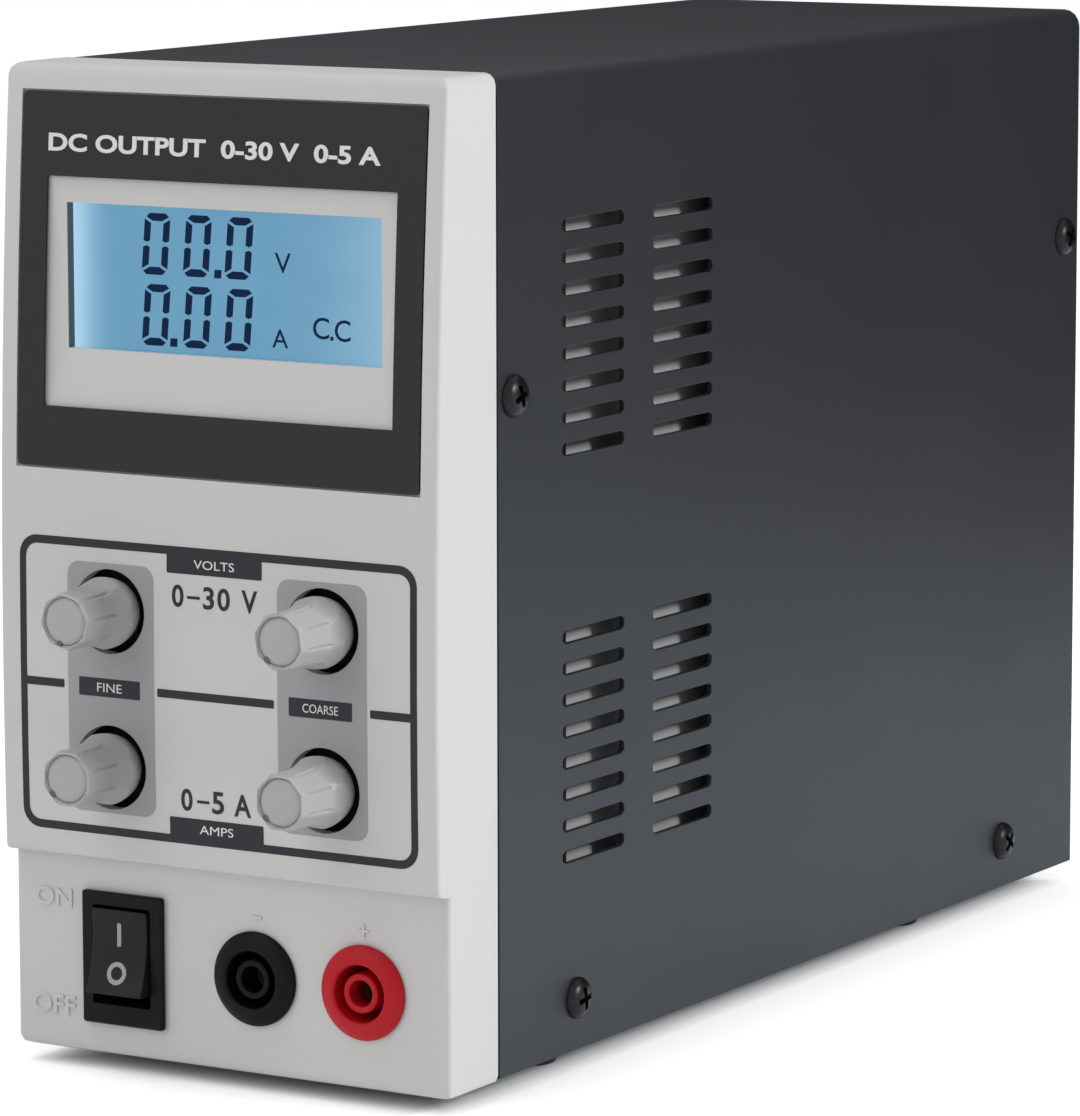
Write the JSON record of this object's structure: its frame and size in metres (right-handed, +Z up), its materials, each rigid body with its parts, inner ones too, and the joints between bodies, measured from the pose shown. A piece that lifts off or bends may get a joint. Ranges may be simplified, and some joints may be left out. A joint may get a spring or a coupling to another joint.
{
  "type": "bench power supply",
  "caption": "Slim upright bench power supply: dark vented steel cover, grey front with back-lit number display, adjusting knobs, rocker switch and shrouded sockets.",
  "frame": {"origin": "centre of the bounding box on the bench plane under the rubber feet", "axes": "+X to the right seen from the front, +Y from the front panel to the back, +Z up"},
  "size_m": [0.0836, 0.231, 0.1575],
  "materials": {
    "grey_plastic": "fine matt moulding texture",
    "knob_plastic": "smooth satin moulding",
    "label_foil": "printed dark satin foil",
    "lcd_glass": "blue back-lit number display",
    "painted_steel": "fine-textured charcoal powder coat",
    "plain_steel": "plain zinc-plated steel",
    "black_steel": "black-finished screw steel",
    "black_plastic": "semi-gloss black moulding",
    "red_plastic": "semi-gloss red moulding",
    "white_plastic": "white light-guide moulding",
    "brass": "turned brass",
    "rubber": "soft black rubber",
    "circuit_board": "green solder mask",
    "aluminium": "extruded, plain",
    "ferrite": "dark ferrite with a taped winding",
    "capacitor_sleeve": "shrunk film over a can",
    "fuse_glass": "clear tube with end caps"
  },
  "bodies": {
    "case": {"front_panel": "grey_plastic", "display_label": "label_foil", "lcd_glass": "lcd_glass", "cover": "painted_steel", "rear_panel": "painted_steel", "chassis": "plain_steel", "pot_voltage_fine": "plain_steel", "pot_voltage_coarse": "plain_steel", "pot_current_fine": "plain_steel", "pot_current_coarse": "plain_steel", "screw_front_left": "black_steel", "screw_front_right": "black_steel", "screw_rear_left": "black_steel", "screw_rear_right": "black_steel", "screw_low_front_left": "black_steel", "screw_low_front_right": "black_steel", "screw_low_rear_left": "black_steel", "screw_low_rear_right": "black_steel", "fan_screw_high_left": "black_steel", "fan_screw_high_right": "black_steel", "fan_screw_low_left": "black_steel", "fan_screw_low_right": "black_steel", "switch_housing": "black_plastic", "black_socket_shell": "black_plastic", "fan_frame": "black_plastic", "mains_inlet": "black_plastic", "output_lead_black": "black_plastic", "red_socket_shell": "red_plastic", "output_lead_red": "red_plastic", "lcd_backlight": "white_plastic", "black_socket_contact": "brass", "red_socket_contact": "brass", "black_socket_nut": "brass", "red_socket_nut": "brass", "foot_front_left": "rubber", "foot_front_right": "rubber", "foot_rear_left": "rubber", "foot_rear_right": "rubber", "front_board": "circuit_board", "main_board": "circuit_board", "heat_sink_left": "aluminium", "heat_sink_right": "aluminium", "transformer": "ferrite", "bulk_capacitor": "capacitor_sleeve"},
    "rocker": {"switch_rocker": "black_plastic"},
    "fan": {"fan_rotor": "black_plastic"},
    "drawer": {"fuse_drawer": "black_plastic", "mains_fuse": "fuse_glass"},
    "knob_voltage_fine": {"knob_voltage_fine": "knob_plastic", "knob_cap_voltage_fine": "knob_plastic", "pot_shaft_voltage_fine": "plain_steel"},
    "knob_voltage_coarse": {"knob_voltage_coarse": "knob_plastic", "knob_cap_voltage_coarse": "knob_plastic", "pot_shaft_voltage_coarse": "plain_steel"},
    "knob_current_fine": {"knob_current_fine": "knob_plastic", "knob_cap_current_fine": "knob_plastic", "pot_shaft_current_fine": "plain_steel"},
    "knob_current_coarse": {"knob_current_coarse": "knob_plastic", "knob_cap_current_coarse": "knob_plastic", "pot_shaft_current_coarse": "plain_steel"}
  },
  "joints": [
    {"name": "voltage_fine_turn", "type": "hinge", "parent": "case", "child": "knob_voltage_fine", "pos_m": [-0.0195, -0.1021, 0.0737], "axis": [0, 1, 0], "range_deg": [0, 300]},
    {"name": "voltage_coarse_turn", "type": "hinge", "parent": "case", "child": "knob_voltage_coarse", "pos_m": [0.0195, -0.1021, 0.0737], "axis": [0, 1, 0], "range_deg": [0, 300]},
    {"name": "current_fine_turn", "type": "hinge", "parent": "case", "child": "knob_current_fine", "pos_m": [-0.0195, -0.1021, 0.0493], "axis": [0, 1, 0], "range_deg": [0, 300]},
    {"name": "current_coarse_turn", "type": "hinge", "parent": "case", "child": "knob_current_coarse", "pos_m": [0.0195, -0.1021, 0.0493], "axis": [0, 1, 0], "range_deg": [0, 300]},
    {"name": "power_rocker", "type": "hinge", "parent": "case", "child": "rocker", "pos_m": [-0.0193, -0.0974, 0.0185], "axis": [1, 0, 0], "range_deg": [0, 18]},
    {"name": "fan_spin", "type": "hinge", "parent": "case", "child": "fan", "pos_m": [0, 0.0927, 0.1155], "axis": [0, 1, 0], "continuous": true},
    {"name": "fuse_drawer_slide", "type": "slide", "parent": "case", "child": "drawer", "axis": [0, 1, 0], "range_m": [0, 0.014]}
  ]
}
